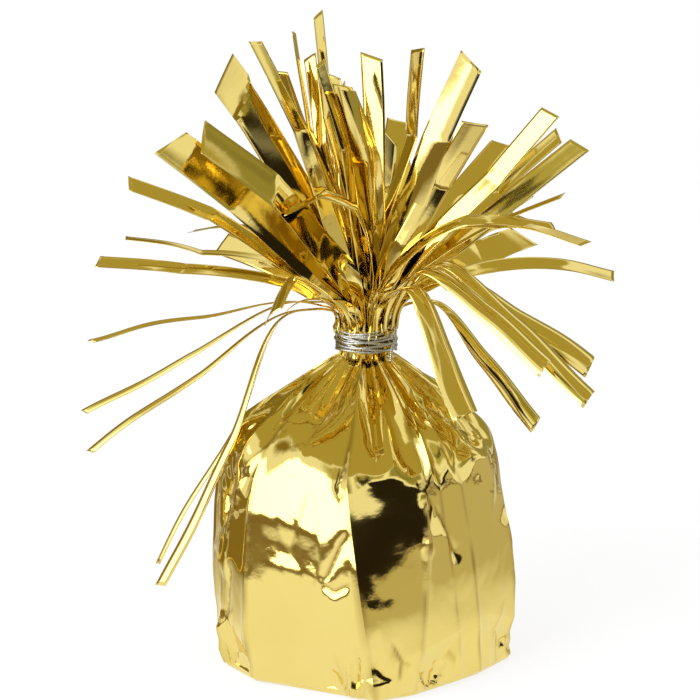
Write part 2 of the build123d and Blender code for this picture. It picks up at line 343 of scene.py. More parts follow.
bagLook = {
    # bearing at the base and at the shoulder, and how far the ridge stands off the weight there
    "ridges": [
        (4, -8, 6.4, 3.0),
        (20, 26, 4.4, 2.6),
        (45, 32, 2.5, 2.4),
        (57, 44, 3.2, 2.6),
        (79, 76, 6.0, 2.2),
        (105, 108, 5.4, 2.2),
        (132, 130, 4.5, 2.8),
        (160, 163, 5.0, 2.6),
        (188, 185, 4.5, 2.8),
        (216, 219, 5.0, 2.6),
        (246, 244, 4.8, 3.4),
        (271, 273, 6.2, 5.4),
        (289, 289, 6.2, 4.6),
        (309, 307, 5.2, 3.2),
    ],
    "cover": 1.0,
    "slack": 0.6,
    "tuck": 0.4,
    "swell": 0.5,
    "swellHeight": 14.0,
    "bend": 1.9,
    "rollRadius": 0.8,
    "neckRadius": 5.6,
    "rimFlare": 0.8,
    "rimCut": 4.2,
    "pleatDepth": 1.9,
    "pillow": 1.0,
    "frontBelly": 1.5,
    "sideBelly": 0.2,
    "crest": 0.45,
    "domeLean": 9.0,
    "ridgeDrop": 2.0,
    "panelRise": 1.5,
    "columns": 448,
    # folds pressed into the foil: places as bearing and height, then depth and half width;
    # a fold with a depth above 0 stands out, one below 0 is a valley
    "folds": [
        ([(-8, 56), (-10, 49), (-12, 45), (-9, 41)], -0.5, 0.9),
        ([(-7, 37), (-13, 29), (-16, 25)], -0.7, 1.0),
        ([(-17, 25.5), (-11, 24), (-4, 26.5)], -0.6, 0.8),
        ([(29, 42), (36, 34), (42, 27)], -0.9, 1.8),
        ([(26, 44), (24, 36), (25, 30)], 0.7, 0.9),
        ([(23, 47), (28, 41), (24, 34)], -0.6, 0.8),
        ([(-48, 55), (-60, 45), (-66, 33), (-69, 15)], 0.6, 1.4),
        ([(-66, 46), (-74, 38), (-72, 28)], -0.8, 1.0),
        ([(-78, 48), (-70, 42), (-76, 32)], -0.7, 0.9),
        ([(-24, 46), (-30, 34), (-34, 27)], -0.25, 1.6),
        ([(-20, 40), (-17, 30), (-20, 24)], 0.22, 1.4),
        ([(62, 58), (70, 52), (64, 48)], -0.6, 0.9),
        ([(52, 60), (58, 55), (66, 56)], -0.6, 0.8),
        ([(72, 50), (78, 44), (74, 38)], -0.6, 0.9),
        ([(8, 14), (13, 9), (12, 4)], -0.5, 1.2),
    ],
    # fans of short folds at the base: bearing, spread, how many, height, depth
    "fans": [
        (-4, 17, 6, 13, 1.0),
        (-70, 14, 6, 8, 1.0),
        (28, 16, 6, 7, 0.9),
        (80, 14, 5, 8, 0.9),
        (150, 30, 6, 9, 0.5),
        (215, 34, 6, 8, 0.5),
        (255, 16, 4, 9, 0.5),
    ],
    # crumples, each a three-sided dent or peak: bearing, height, size, depth and turn
    "crumples": [
        (-8, 6, 5.5, -1.3, 20),
        (-3, 2.5, 4, 1.0, 80),
        (1, 9, 4, -1.0, 140),
        (-14, 3, 4.5, -1.1, 200),
        (-62, 5, 5, -1.3, 50),
        (-70, 9, 4, 1.0, 110),
        (-55, 2.5, 4, -1.1, 10),
        (22, 3.5, 4, -1.1, 40),
        (30, 6, 5, -1.2, 100),
        (38, 3, 3.5, 0.9, 160),
        (72, 6, 5, -1.2, 70),
        (84, 4, 4, -1.0, 20),
        (58, 52, 4, -1.0, 30),
        (66, 47, 4, 0.9, 95),
        (73, 51, 3.5, -0.9, 150),
        (50, 57, 3.5, -0.8, 60),
        (-78, 44, 5, -1.1, 15),
        (-70, 36, 4.5, -1.0, 75),
        (-74, 26, 4, 0.8, 130),
    ],
    "strayCrumples": 18,
    "strayFolds": 34,
    # width of the painted crease shade lines along folds and ridges
    "shadeLineWidth": 0.4,
}


def bagRows():
    # row heights up the bag, each row's share of the outline's radius, and how far it is drawn in
    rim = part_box("foil_wrapper")[1].z / mm
    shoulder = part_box("weight_shell")[1].z / mm + bagLook["slack"]
    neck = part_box("fringe_strip_01")[0].z / mm
    rolled = bagLook["rollRadius"]
    turn = np.linspace(0, math.pi / 2, 6)
    parts = [
        (np.zeros(9), np.linspace(0.08, 0.97, 9), np.full(9, bagLook["tuck"] + rolled)),
        (rolled * (1 - np.cos(turn)), np.ones(6), bagLook["tuck"] + rolled * (1 - np.sin(turn))),
        (np.linspace(rolled, shoulder, 96)[1:], np.ones(95), np.zeros(95)),
        (np.linspace(shoulder, neck, 66)[1:], np.ones(65), np.zeros(65)),
        (np.linspace(neck, rim, 18)[1:], np.ones(17), np.zeros(17)),
        (np.linspace(rim, neck, 5)[1:], np.array([0.94, 0.9, 0.86, 0.6]), np.zeros(4)),
    ]
    height, share, inset = (np.concatenate(column)[:, None] for column in zip(*parts))
    return height, share, inset, shoulder, neck, rim


def bagPoints():
    # straight panels between ridges that drift round as they rise, bent in at the shoulder to the neck
    z, share, inset, shoulder, neck, rim = bagRows()
    ridges = np.array(bagLook["ridges"], float)
    wide = (np.roll(ridges[:, 0], -1) - ridges[:, 0]) % 360
    counts = np.maximum(np.round(wide / 360 * bagLook["columns"] / 4).astype(int) * 4, 20)
    ridge = np.repeat(np.arange(len(ridges)), counts)
    across = np.concatenate([np.arange(n) / n for n in counts])
    after = (ridge + 1) % len(ridges)

    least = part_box("weight_shell")[1].x / mm + bagLook["cover"]
    low, high = least + ridges[:, 2], least + ridges[:, 3]
    climb = np.clip(z / shoulder, 0, 1)
    bearing = np.radians(ridges[:, 0] + (ridges[:, 1] - ridges[:, 0]) * climb)
    lean = math.radians(bagLook["domeLean"])

    def ridgeRadius(k):
        # one ridge's radius at each height, for the columns that it serves
        rounded = bagLook["panelRise"] * np.sin(math.pi * across)
        bent = rounded - bagLook["ridgeDrop"] * np.abs(np.cos(math.pi * across))
        eased = z - bent * np.exp(-((z - shoulder) / 13) ** 2)
        lift = np.clip((eased - bagLook["swellHeight"]) / (shoulder - bagLook["swellHeight"]), 0, 1)
        wall = low[k] + (high[k] - low[k]) * lift ** bagLook["bend"]
        wall = wall + bagLook["swell"] * np.sin(math.pi * climb)
        gather = lean + (math.pi / 2 - lean) * np.clip((eased - shoulder) / (neck - shoulder), 0, 1)
        dome = bagLook["neckRadius"] + (wall - bagLook["neckRadius"]) * np.cos(gather) / math.cos(lean)
        return dome + bagLook["rimFlare"] * smoothStep(neck, rim, z)

    near, far = ridgeRadius(ridge), ridgeRadius(after)
    gap = (bearing[:, after] - bearing[:, ridge]) % (2 * math.pi)
    into = gap * across
    chord = near * far * np.sin(gap) / (near * np.sin(into) + far * np.sin(gap - into))
    theta = bearing[:, ridge] + into
    outline = (chord - inset) * share
    points = np.stack([outline * np.sin(theta), -outline * np.cos(theta), z + 0 * outline], -1)
    return points, theta, across, ridge, gap, (shoulder, neck, rim)


def gridNormals(points):
    # outward normals from the differences along rows and columns
    around = np.roll(points, -1, 1) - np.roll(points, 1, 1)
    upward = np.gradient(points, axis=0)
    return unit(np.cross(around, upward))


def foldField(theta, points, route, depth, half, shadeWeight=1.0):
    # a pressed fold: height falls off on both sides of the line from a sharp crest, and at its ends;
    # it also gives a thin band of painted crease shade along the fold
    z = points[..., 2]
    reach = np.hypot(points[..., 0], points[..., 1])
    field, line = np.zeros_like(z), np.zeros_like(z)
    steps = len(route) - 1
    for k in range(steps):
        (startTurn, startHeight), (endTurn, endHeight) = route[k], route[k + 1]
        turn = (theta - math.radians(startTurn) + math.pi) % (2 * math.pi) - math.pi
        x, y = turn * reach, z - startHeight
        runX = math.radians(endTurn - startTurn) * reach
        runY = endHeight - startHeight
        s = np.clip((x * runX + y * runY) / (runX ** 2 + runY ** 2), 0, 1)
        gap = np.hypot(x - s * runX, y - s * runY)
        place = (k + s) / steps
        fade = smoothStep(-0.02, 0.25, place) * (1 - smoothStep(0.75, 1.02, place))
        field = np.maximum(field, np.exp(-gap / half) * fade)
        # painted crease shade: a narrow band along the fold line
        line = np.maximum(line, np.exp(-(gap / bagLook["shadeLineWidth"]) ** 2) * fade)
    return depth * field, line * shadeWeight * min(1, abs(depth) / 0.5)


def crumpleField(theta, points, bearing, height, size, depth, lean):
    # a flat-sided dent or peak with a three-cornered edge
    turn = (theta - math.radians(bearing) + math.pi) % (2 * math.pi) - math.pi
    x = turn * np.hypot(points[..., 0], points[..., 1])
    y = points[..., 2] - height
    ways = [math.radians(lean + corner) for corner in (0, 120, 240)]
    edge = np.max([x * math.cos(way) + y * math.sin(way) for way in ways], axis=0) / size
    return depth * np.clip(1 - edge, 0, 1)


def allCrumples():
    # the placed crumples, then stray ones low down round the back and sides
    rng = np.random.default_rng(17)
    low = [0, 1, 3, -1.4, 0]
    high = [0, 10, 6, 1.2, 360]
    stray = rng.uniform(low, high, size=(bagLook["strayCrumples"], 5))
    stray[:, 0] = np.linspace(98, 282, bagLook["strayCrumples"])
    return bagLook["crumples"] + stray.tolist()


def allFolds():
    # the placed folds, then the fans at the base and stray folds round the bag
    folds = list(bagLook["folds"])
    rng = np.random.default_rng(5)
    for bearing, spread, count, height, depth in bagLook["fans"]:
        for k in range(count):
            lean = spread * (k / (count - 1) - 0.5)
            top = height * rng.uniform(0.5, 1.0)
            foot = bearing + lean * 0.4
            route = [(foot - 1, -1.5), (foot, 1.0), (bearing + lean, top)]
            # the last value weights the fold's painted crease shade
            folds.append((route, depth * rng.uniform(0.6, 1.0) * (-1) ** k, rng.uniform(0.9, 1.5), 0.2))
    for k in range(bagLook["strayFolds"]):
        turn = rng.uniform(62, 312)
        height = rng.uniform(8, 56)
        run = rng.uniform(8, 20)
        lean = rng.uniform(-12, 12)
        route = [(turn, height), (turn + lean * 0.6, height - run / 2), (turn + lean, height - run)]
        folds.append((route, rng.uniform(0.25, 0.6) * rng.choice([-1, 1]), rng.uniform(0.7, 1.6), 0.4))
    return folds


def foilBag():
    points, theta, across, ridge, gap, (shoulder, neck, rim) = bagPoints()
    z = points[..., 2]
    rng = np.random.default_rng(11)
    panels = len(bagLook["ridges"])
    starts = shoulder + rng.uniform(0, 11, panels)[ridge] + 4 * across * rng.uniform(-1, 1, panels)[ridge]
    depth = rng.uniform(0.8, 1.3, panels)[ridge] * bagLook["pleatDepth"]
    count = rng.choice([1, 2, 2, 3], panels)[ridge]
    warped = count * across ** rng.uniform(0.7, 1.4, panels)[ridge]
    grown = smoothStep(starts, starts + 9, z) * (1 - 0.45 * smoothStep(neck - 4, neck, z))
    crest = np.abs(np.cos(math.pi * warped)) * 0.4 + np.abs(1 - 2 * (warped % 1)) * 0.6
    pleat = -depth * grown * (1 - crest + 0.2 * np.sin(math.pi * across) ** 2)
    finer = np.abs(1 - 2 * ((4 * across + 0.2 * np.sin(z * 0.4 + ridge)) % 1)) - 0.5
    pleat = pleat + 0.3 * finer * smoothStep(neck - 10, neck - 4, z)
    wide = gap * np.hypot(points[..., 0], points[..., 1])
    pillow = bagLook["pillow"] * (wide / 26) ** 1.5 * np.sin(math.pi * across)
    pillow = pillow * smoothStep(2, 22, z) * (1 - smoothStep(shoulder + 4, neck - 4, z))
    climb = np.clip(z / shoulder, 0, 1)
    front = smoothStep(0.3, 0.9, np.cos(theta + 0.2))
    belly = bagLook["sideBelly"] + (bagLook["frontBelly"] - bagLook["sideBelly"]) * front
    belly = belly * np.sin(math.pi * climb ** 0.65)
    beside = np.minimum(across, 1 - across) * wide
    piped = bagLook["crest"] * np.exp(-beside / 0.9) * (0.7 + 0.5 * ripple(points, 17.0, 8))
    piped = piped * (1 - smoothStep(shoulder, shoulder + 6, z))
    broad = 0.20 * ripple(points, 26.0, 3) + 0.08 * ripple(points, 12.0, 4)
    broad = broad * (1 - 0.6 * smoothStep(shoulder, neck, z))
    made = [foldField(theta, points, *fold) for fold in allFolds()]
    pressed = sum(height for height, line in made)
    pressed = pressed + sum(crumpleField(theta, points, *crumple) for crumple in allCrumples())
    fine = 0.03 * creases(points, 6.0, 23) * smoothStep(6, 20, z)
    edge = smoothStep(0.1, 1.6, z) * (1 - smoothStep(rim - 1.0, rim, z))
    shift = (pleat + pillow + belly + piped + broad + pressed + fine) * edge
    moved = points + gridNormals(points) * shift[..., None]
    jagged = bagLook["rimCut"] * (0.75 + 0.25 * zigzag(19 * theta + 2 * np.sin(5 * theta)))
    moved[..., 2] -= jagged * smoothStep(neck + 3, rim, z)
    moved[..., 2] = np.maximum(moved[..., 2], 0)
    piece = roundPiece("foilBag", moved * mm, [0, 0, 0], [0, 0, neck * mm], bagFoil, 24)
    # painted crease shade: dark lines along ridges, pleat valleys and folds, stored on the mesh as the
    # pressed attribute that darkens the foil
    ridgeShade = np.exp(-(beside / bagLook["shadeLineWidth"]) ** 2) * (0.35 + 0.35 * ripple(points, 9.0, 41))
    valleyShade = grown * smoothStep(0.86, 1.0, 1 - crest) * 0.6
    paintedCreaseShade = np.clip(np.max([line for height, line in made], axis=0) + ridgeShade + valleyShade, 0, 1) * edge
    creaseShadeAttribute = piece.data.attributes.new("pressed", "FLOAT", "POINT")
    creaseShadeAttribute.data.foreach_set("value", np.append(paintedCreaseShade.ravel(), [0, 0]).astype(np.float32))
    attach(piece, coreBody)
    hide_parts("foil_wrapper")
    return piece


bag = foilBag()
print("foil bag made:", len(bag.data.polygons), "faces")


# fringe strips and streamers: ribbons carried along smooth paths

ribbonLook = {
    "thickness": 0.00012,
    "rows": 72,
    "columns": 9,
    "rootFold": 56.0,
    "rootShare": 0.36,
    "opened": 0.30,
    "rootSpread": 1.2,
}


def nodeShape(name):
    # corner points in millimetres, and the middle, normal and area of each face of a solid
    mesh = frame["nodes"][name].data
    flat = np.zeros(len(mesh.vertices) * 3)
    mesh.vertices.foreach_get("co", flat)
    faces = len(mesh.polygons)
    middle, normal, area = np.zeros(faces * 3), np.zeros(faces * 3), np.zeros(faces)
    mesh.polygons.foreach_get("center", middle)
    mesh.polygons.foreach_get("normal", normal)
    mesh.polygons.foreach_get("area", area)
    return flat.reshape(-1, 3) / mm, middle.reshape(-1, 3) / mm, normal.reshape(-1, 3), area / mm ** 2


def stripShape(name):
    # root, tip, width, slant and bow of a strip, measured on its solid
    points, middle, normal, area = nodeShape(name)
    low = points[:, 2].min()
    stem = points[points[:, 2] < low + 0.01]
    axis = stem.mean(0)
    corner = np.linalg.norm(stem[0] - axis)
    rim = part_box("foil_wrapper")[1].z / mm
    plan = np.hypot(points[:, 0] - axis[0], points[:, 1] - axis[1])
    stemTop = points[(np.abs(plan - corner) < 0.02) & (points[:, 2] < rim + 7), 2].max()
    root = np.array([axis[0], axis[1], stemTop - 0.3])
    reach = points - root
    blade = np.linalg.norm(middle - root, axis=1) > 4
    spread = (normal[blade] * area[blade, None]).T @ normal[blade]
    face = np.linalg.eigh(spread)[1][:, 2]
    centre = (middle[blade] * area[blade, None]).sum(0) / area[blade].sum() - root
    along = unit(centre - (centre @ face) * face)
    side = np.cross(along, face)
    ahead, beside = reach @ along, reach @ side
    outer = np.where(ahead > 0.8 * ahead.max(), 100 * beside, 0)
    left = points[np.argmax(np.where(outer < 0, ahead - outer, 0))]
    right = points[np.argmax(np.where(outer > 0, ahead + outer, 0))]
    tip = (left + right) / 2
    length = np.linalg.norm(tip - root)
    along = (tip - root) / length
    slant = (right - left) @ along
    side = unit(right - left - slant * along)
    face = np.cross(side, along)
    share = reach @ along / length
    inner = (share > 0.3) & (share < 0.7)
    bow = np.mean((reach @ face)[inner] / (4 * share * (1 - share))[inner])
    width = (right - left) @ side
    return {"root": root, "along": along, "side": side, "face": face,
            "length": length, "width": width, "slant": slant, "bow": bow}


def spline(knots, t):
    # smooth curve through the knots: cubic pieces with slopes from the neighbours
    knots = np.asarray(knots, float)
    steps = np.linalg.norm(np.diff(knots, axis=0), axis=1)
    place = np.concatenate([[0], np.cumsum(steps)])
    slope = np.gradient(knots, place, axis=0)
    x = t * place[-1]
    k = np.clip(np.searchsorted(place, x, side="right") - 1, 0, len(knots) - 2)
    span = (place[k + 1] - place[k])[..., None]
    s = ((x - place[k])[..., None]) / span
    first = (1 + 2 * s) * (1 - s) ** 2 * knots[k] + s * (1 - s) ** 2 * span * slope[k]
    second = s * s * (3 - 2 * s) * knots[k + 1] + s * s * (s - 1) * span * slope[k + 1]
    return first + second


def ribbonGrid(path, startSide, endSide, width, look):
    # a strip folded to a V at its root that opens, twists and cups along its path, with a slanted end
    u = np.linspace(0, 1, ribbonLook["rows"])[:, None]
    a = np.linspace(-1, 1, ribbonLook["columns"])[None, :]
    length = np.linalg.norm(np.diff(path(np.linspace(0, 1, 50)), axis=0), axis=1).sum()
    cut = look["slant"] / length
    t = u * (1 - abs(cut) * (1 - math.copysign(1, cut) * a) / 2)
    centre = path(t)
    step = 1e-3
    tangent = unit(path(np.minimum(t + step, 1)) - path(np.maximum(t - step, 0)))
    turn = smoothStep(0.02, look["opened"], t)[..., None]
    if startSide @ endSide < 0:
        startSide = -startSide
    side = startSide * (1 - turn) + endSide * turn
    side = unit(side - (side * tangent).sum(-1, keepdims=True) * tangent)
    up = np.cross(tangent, side)
    twist = np.radians(look["twist"]) * smoothStep(*look["twisting"], t)[..., None]
    side, up = side * np.cos(twist) + up * np.sin(twist), up * np.cos(twist) - side * np.sin(twist)
    fold = np.radians(ribbonLook["rootFold"]) * (1 - smoothStep(0.06, look["opened"], t))
    fold = fold + np.radians(look["crease"]) * smoothStep(0.1, 0.5, t)
    narrow = ribbonLook["rootShare"]
    half = width / 2 * (narrow + (1 - narrow) * smoothStep(0, look["flare"], t))
    lateral = a * half * np.cos(fold)
    folded = (np.abs(a) - 0.5) * half * np.sin(fold)
    rise = folded + look["cup"] * (a * a - 0.4) * half * smoothStep(0.2, 0.6, t)
    beat = np.sin(2 * math.pi * (look["beats"] * t + look["phase"]))
    wave = look["wave"] * beat * smoothStep(0.3, 0.9, t)
    points = centre + side * lateral[..., None] + up * (rise + wave)[..., None]
    for place, angle, lean in look["folds"]:
        points = foldOver(points, place, angle, lean)
    return points


def foldOver(points, place, angle, lean):
    # the part beyond a share of the length turned over about a slanting line across the strip
    row = int(place * (len(points) - 1))
    middle = points.shape[1] // 2
    pivot = points[row, middle]
    along = unit(points[row + 1, middle] - points[row - 1, middle])
    side = unit(points[row, -1] - points[row, 0])
    slant = math.radians(lean)
    axis = side * math.cos(slant) + along * math.sin(slant)
    ahead = along * math.cos(slant) - side * math.sin(slant)
    arm = points - pivot
    turn = math.radians(angle) * smoothStep(0, 1.0, arm @ ahead)[..., None]
    level = (arm @ axis)[..., None] * axis
    return pivot + level + (arm - level) * np.cos(turn) + np.cross(axis, arm) * np.sin(turn)


def stripLook(seed):
    # two kinks across the strip, the second turning back so that the tip keeps its place
    rng = np.random.default_rng(seed)
    kink = rng.uniform(5, 11) * rng.choice([-1, 1])
    return {
        "twist": rng.uniform(-18, 18),
        "twisting": (0.2, 1.0),
        "folds": [(0.4, kink, rng.uniform(-30, 30)), (0.7, -2 * kink, rng.uniform(-30, 30))],
        "crease": rng.uniform(-3, 5),
        "cup": rng.uniform(-0.12, 0.12),
        "wave": rng.uniform(0.05, 0.25),
        "beats": rng.uniform(0.6, 1.6),
        "phase": rng.uniform(0, 1),
        "opened": ribbonLook["opened"] * rng.uniform(0.8, 1.2),
        "flare": 0.3,
        "spread": ribbonLook["rootSpread"],
    }


# changes to single strips, by the end of the node's name
stripChanges = {
    3: {"twist": 80, "twisting": (0.05, 0.45), "folds": []},
    9: {"folds": [(0.72, 10, 10)], "crease": 0},
    17: {"folds": [(0.86, 70, -28)], "twist": 8},
    18: {"twist": 26},
    19: {"twist": 6, "cup": 0.1, "crease": 0},
    20: {"folds": [(0.66, 30, 12), (0.82, 45, 20)]},
    22: {"folds": [(0.45, 7, 15), (0.72, -14, 20)], "twist": -6},
    34: {"twist": -4, "cup": 0.1, "crease": 0},
    35: {"folds": [(0.45, 40, 20), (0.70, -55, -15)], "cup": 0.3},
    38: {"folds": [], "twist": 0, "flare": 0.9, "opened": 0.6},
    39: {"folds": [], "twist": 0, "flare": 0.5, "opened": 0.45},
    40: {"folds": [], "twist": 0, "flare": 0.5, "opened": 0.45},
}


def fringeStrip(name):
    shape = stripShape(name)
    number = int(name[-2:])
    look = {**stripLook(number), **stripChanges.get(number, {}), "slant": shape["slant"]}
    root, bow, length = shape["root"], shape["bow"], shape["length"]
    curve = (length ** 2 / 4 + bow ** 2) / (2 * bow)

    def arc(share):
        out = math.copysign(math.sqrt(curve ** 2 - (length * (share - 0.5)) ** 2), bow) - curve + bow
        return root + shape["along"] * length * share + shape["face"] * out

    spread = look["spread"]
    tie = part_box("tie_cord")
    neck = root * [spread, spread, 0]
    low = neck + [0, 0, tie[1].z / mm - 2]
    high = neck + [0, 0, tie[1].z / mm + 1]
    end = arc(1) + shape["along"] * abs(shape["slant"]) / 2
    knots = [low, high] + [arc(share) for share in (0.16, 0.34, 0.54, 0.76)] + [end]
    around = unit(np.array([-root[1], root[0], 0.0]))
    points = ribbonGrid(lambda t: spline(knots, t), around, shape["side"], shape["width"], look)
    piece = sheetPiece(name + "_foil", points * mm, fringeFoil, ribbonLook["thickness"], 22)
    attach(piece, coreBody)
    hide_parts(name)
    return piece


strips = [fringeStrip(name) for name in sorted(frame["nodes"]) if name.startswith("fringe_strip")]
print("fringe strips made:", len(strips))


streamerLook = {
    "tuck": 3.5,
    "inset": 0.5,
    "bend": 4.0,
    "bulge": 1.2,
    "flare": 0.85,
    "cup": 0.45,
    "wave": 0.6,
    "beats": 1.8,
    "twisting": (0.12, 0.6),
    # sideways sag of the fold towards the right
    "drift": {"streamer_front_shoulder": 1.5},
    # how far each strip turns on its way out; above 0 the near edge goes down on the right-hand ones
    "twists": {
        "streamer_left_level": -4,
        "streamer_left_upper": -30,
        "streamer_left_lower": -30,
        "streamer_left_back": -25,
        "streamer_left_long": -40,
        "streamer_front_shoulder": 12,
        "streamer_right_dark": 32,
        "streamer_right_pale": 28,
        "streamer_right_short": 60,
        "streamer_right_wide": 30,
    },
}


def streamer(name, joint):
    # from under the tie, over its fold and down to the tip, all measured on its solid
    points = nodeShape(name)[0]
    root = np.array(joint["pos_m"]) / mm
    axis = np.array(joint["axis"])
    away = np.linalg.norm(points - root, axis=1)
    tip = points[away > away.max() - 0.8].mean(0)
    top = points[points[:, 2] > points[:, 2].max() - 0.05].mean(0)
    outward = unit(np.array([root[0], root[1], 0.0]))
    start = root - outward * streamerLook["inset"] - [0, 0, streamerLook["tuck"]]
    middle = (top + tip) / 2 + [0, 0, streamerLook["bulge"]]
    drift = np.array([streamerLook["drift"].get(name, 0.0), 0, 0])
    bends = [top + drift] if np.linalg.norm(top - root) > 3 else []
    knots = [start, root] + bends + [middle + drift * 0.7, tip]
    width = 2 * np.abs((points - root) @ axis).max()
    look = {**stripLook(sum(map(ord, name))), "opened": 0.25, "slant": 1.2}
    look.update(twist=streamerLook["twists"][name], twisting=streamerLook["twisting"], folds=[])
    look.update({key: streamerLook[key] for key in ("flare", "cup", "wave", "beats")})
    grid = ribbonGrid(lambda t: spline(knots, t), axis, axis, width, look)
    piece = sheetPiece(name + "_foil", grid * mm, fringeFoil, ribbonLook["thickness"], 22)
    loose = root + unit(knots[2] - root) * streamerLook["bend"]
    tuple(start * mm)
    tuple(loose * mm)
    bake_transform(piece)
    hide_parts(name)
    return piece


streamers = [streamer(joint["child"], joint) for joint in frame["joints"]]
print("streamers made:", len(streamers))


# tie: a doubled thread wound loosely round the neck, its two strands crossing, with a loose tail

tieLook = {
    "turns": 4.88,
    "strandRadius": 0.30,
    "strandGap": 0.55,
    "lay": 0.18,
    "layPitch": 0.9,
    "windRadius": 6.25,
    "wander": 0.6,
    "rings": 1100,
    "sides": 10,
    # places of the tail after the last turn, from its end
    "tail": [(1.0, 1.2, 0.4), (1.6, 0.2, -1.4), (0.9, -1.8, -4.0), (0.6, -3.4, -6.6)],
}


def strandLine(offset, seed, tailed):
    # the middle line of one strand up round the neck, and down its tail
    rng = np.random.default_rng(seed)
    phases = rng.uniform(0, 2 * math.pi, 4)
    turns = np.linspace(0, tieLook["turns"], tieLook["rings"])
    angle = 2 * math.pi * turns + math.pi / 2
    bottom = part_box("fringe_strip_01")[0].z / mm + 0.9
    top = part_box("tie_cord")[1].z / mm - 0.6
    height = bottom + (top - bottom) * turns / tieLook["turns"] + offset
    stray = 0.6 * np.sin(angle * 1.13 + phases[0]) + 0.5 * np.sin(angle * 2.37 + phases[1])
    height = height + tieLook["wander"] * stray
    reach = tieLook["windRadius"] + 0.16 * np.sin(angle * 1.71 + phases[2])
    reach = reach + 0.10 * np.sin(angle * 4.3 + phases[3])
    line = np.stack([reach * np.sin(angle), -reach * np.cos(angle), height], -1)
    if not tailed:
        return line
    knots = [line[-1]] + [line[-1] + np.array(step) for step in tieLook["tail"]]
    return np.concatenate([line, spline(knots, np.linspace(0.02, 1, 90))])


def strandRings(line):
    # rings of points round a strand, with the lay of its thread twisted along it
    radius = tieLook["strandRadius"]
    tangent = unit(np.gradient(line, axis=0))
    outward = line * [1, 1, 0]
    outward = unit(outward - (outward * tangent).sum(-1, keepdims=True) * tangent)
    upward = np.cross(tangent, outward)
    length = np.concatenate([[0], np.cumsum(np.linalg.norm(np.diff(line, axis=0), axis=1))])
    around = np.arange(tieLook["sides"]) * 2 * math.pi / tieLook["sides"]
    lay = 2 * math.pi * length / tieLook["layPitch"]
    thick = radius * (1 + tieLook["lay"] * np.cos(2 * around[None, :] - 2 * lay[:, None]))
    return (line[:, None] + outward[:, None] * (thick * np.cos(around))[..., None]
            + upward[:, None] * (thick * np.sin(around))[..., None])


def tieStrand(name, offset, seed, tailed):
    line = strandLine(offset, seed, tailed)
    piece = roundPiece(name, strandRings(line) * mm, line[0] * mm, line[-1] * mm, silverCord, 60)
    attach(piece, coreBody)
    return piece


def tieCord():
    half = tieLook["strandGap"] / 2
    strands = [tieStrand("tieStrandLow", -half, 3, False), tieStrand("tieStrandHigh", half, 8, True)]
    for strand in strands:
        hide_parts("tie_cord")
    return strands


tie = tieCord()
print("tie made")


# studio: pale floor, soft boxes and dark boards that only reflections see

studio = {
    "floorRadius": 0.55,
    "floorWhite": 0.82,
    "boardDistance": 0.9,
}


def whiteRays(s):
    # 1 for the rays that should meet plain white: from the camera, from mirrors, through glass
    path = s.node("ShaderNodeLightPath")
    outs = path.socket.node.outputs
    pick = lambda key: Signal(s.tree, outs[key])
    seen = pick("Is Camera Ray") + pick("Is Glossy Ray") + pick("Is Transmission Ray")
    return s.maths("MINIMUM", seen, 1.0)


def floorPiece():
    material, s = newMaterial("studioFloor")
    plain = s.node("ShaderNodeBsdfDiffuse", None, {"Color": (0.9, 0.9, 0.9, 1)})
    white = s.node("ShaderNodeEmission", None, {"Color": (1, 1, 1, 1), "Strength": 1.0})
    share = whiteRays(s) * studio["floorWhite"]
    mix = s.node("ShaderNodeMixShader", None, {0: share, 1: plain, 2: white})
    s.node("ShaderNodeOutputMaterial", None, {"Surface": mix})
    angle = np.arange(96) * 2 * math.pi / 96
    rings = np.linspace(0.05, 1, 20)[:, None] * studio["floorRadius"]
    points = np.stack([rings * np.cos(angle), rings * np.sin(angle), 0 * rings * angle - 0.0002], -1)
    rows, cols, _ = points.shape
    verts = np.concatenate([points.reshape(-1, 3), [[0, 0, -0.0002]]])
    faces = quads(rows, cols, True)
    c = np.arange(cols)
    faces += np.stack([c, (c + 1) % cols, np.full(cols, rows * cols)], -1).tolist()
    uv = np.zeros((len(verts), 2))
    floor = newPiece("studioFloor", verts, faces, uv, material, 60)
    return floor


def board(name, bearings, heights, colour, strength, soft):
    # a curved board at a bearing and elevation, fading out towards its edges
    material, s = newMaterial(name)
    coords = s.node("ShaderNodeTexCoord", out=2)
    parts = s.node("ShaderNodeSeparateXYZ", None, {0: coords})
    edges = []
    for key in (0, 1):
        place = Signal(s.tree, parts.socket.node.outputs[key])
        nearest = s.maths("MINIMUM", place, 1.0 - place)
        edges.append(s.maths("MINIMUM", nearest * (1 / soft), 1.0))
    glow = s.node("ShaderNodeEmission", None, {"Color": (*colour, 1), "Strength": strength})
    clear = s.node("ShaderNodeBsdfTransparent")
    mix = s.node("ShaderNodeMixShader", None, {0: edges[0] * edges[1], 1: clear, 2: glow})
    s.node("ShaderNodeOutputMaterial", None, {"Surface": mix})
    turn = np.radians(np.linspace(*bearings, 40))[None, :]
    lift = np.radians(np.linspace(*heights, 24))[:, None]
    flat = np.cos(lift) * studio["boardDistance"]
    points = np.stack([flat * np.sin(turn), -flat * np.cos(turn),
                       np.broadcast_to(np.sin(lift) * studio["boardDistance"] + 0.03, (24, 40))], -1)
    piece = newPiece(name, points.reshape(-1, 3), quads(24, 40, False), gridUv(24, 40), material, 60)
    piece.visible_camera = False
    piece.visible_diffuse = False
    piece.visible_shadow = False
    return piece


